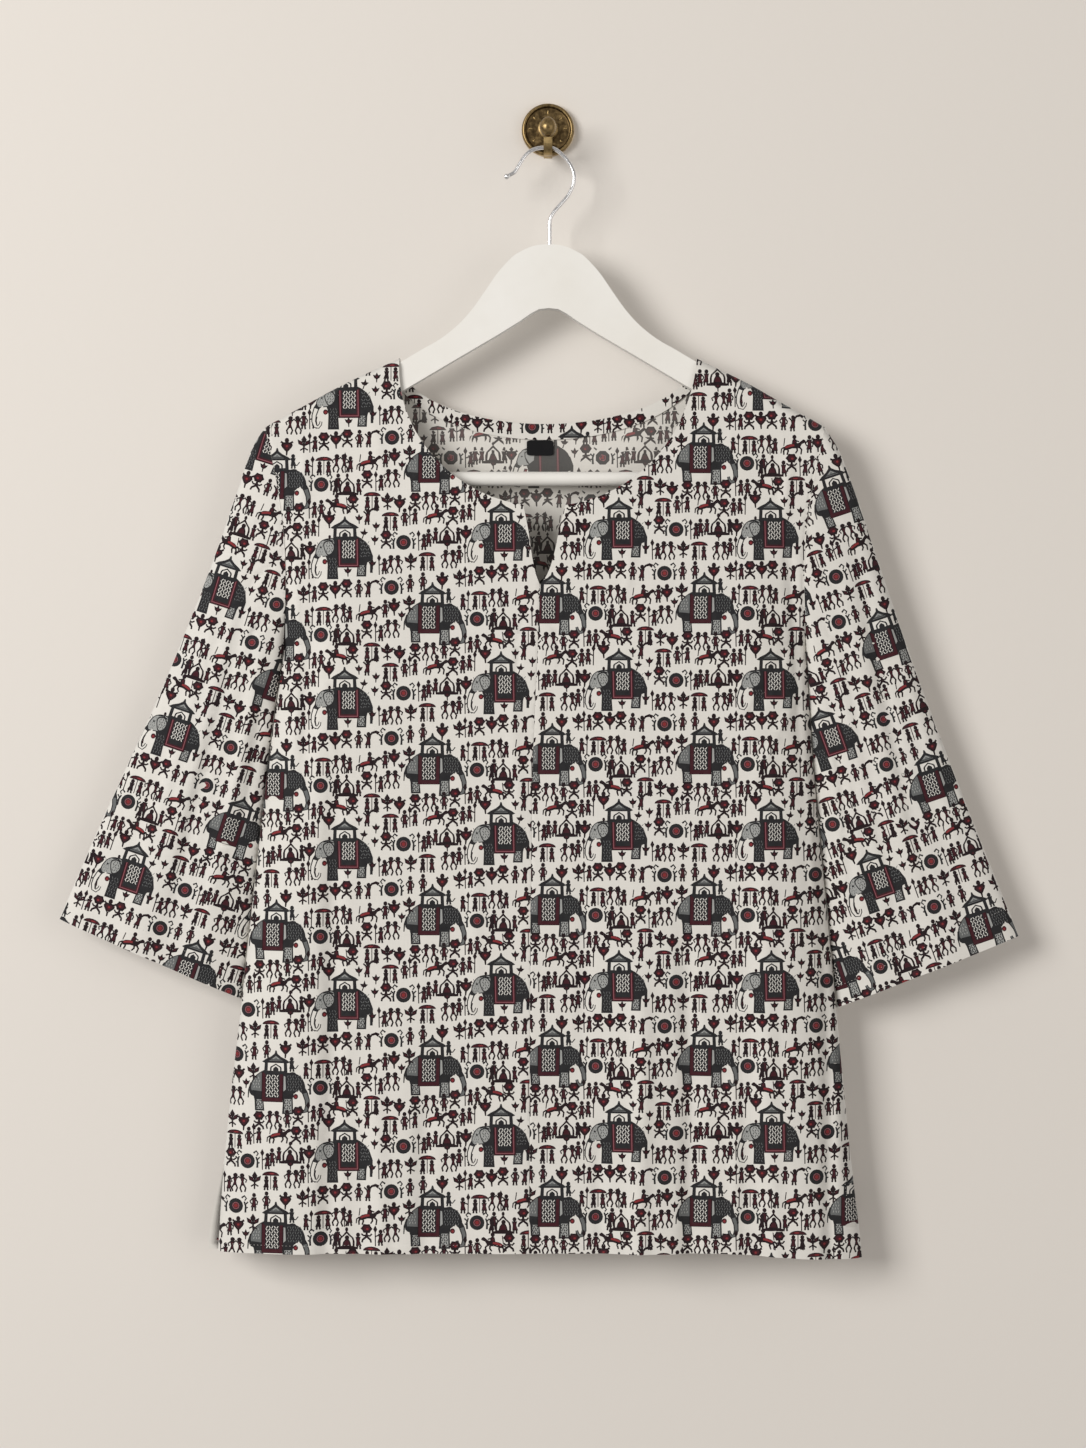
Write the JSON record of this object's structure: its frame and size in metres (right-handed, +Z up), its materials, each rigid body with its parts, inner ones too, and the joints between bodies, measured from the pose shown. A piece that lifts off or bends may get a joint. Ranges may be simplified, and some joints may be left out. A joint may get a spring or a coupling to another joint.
{
  "type": "kurta tunic on a hanger and wall hook",
  "caption": "Printed cotton kurta tunic with three-quarter sleeves and a notched round neck, hanging on a flat hanger from a round wall hook.",
  "frame": {"origin": "middle of the wall rose's flat back face, which lies on the wall", "axes": "+Y into the wall, so the garment's front faces -Y; +Z up; +X towards the wearer's left sleeve"},
  "size_m": [0.8016, 0.0583, 0.9671],
  "materials": {
    "printed_cotton": "matte printed cambric",
    "label_cloth": "woven black tape",
    "white_paint": "satin white paint on wood",
    "bright_steel": "bright drawn wire",
    "aged_brass": "aged, rubbed at the edges"
  },
  "bodies": {
    "root": {"front_left": "printed_cotton", "front_right": "printed_cotton", "back": "printed_cotton", "sleeve_left": "printed_cotton", "sleeve_right": "printed_cotton", "neck_facing": "printed_cotton", "label": "label_cloth", "hanger_body": "white_paint", "trouser_bar": "white_paint", "hook_wire": "bright_steel", "wall_rose": "aged_brass", "hook_knob": "aged_brass", "hook_strap": "aged_brass"}
  },
  "joints": []
}
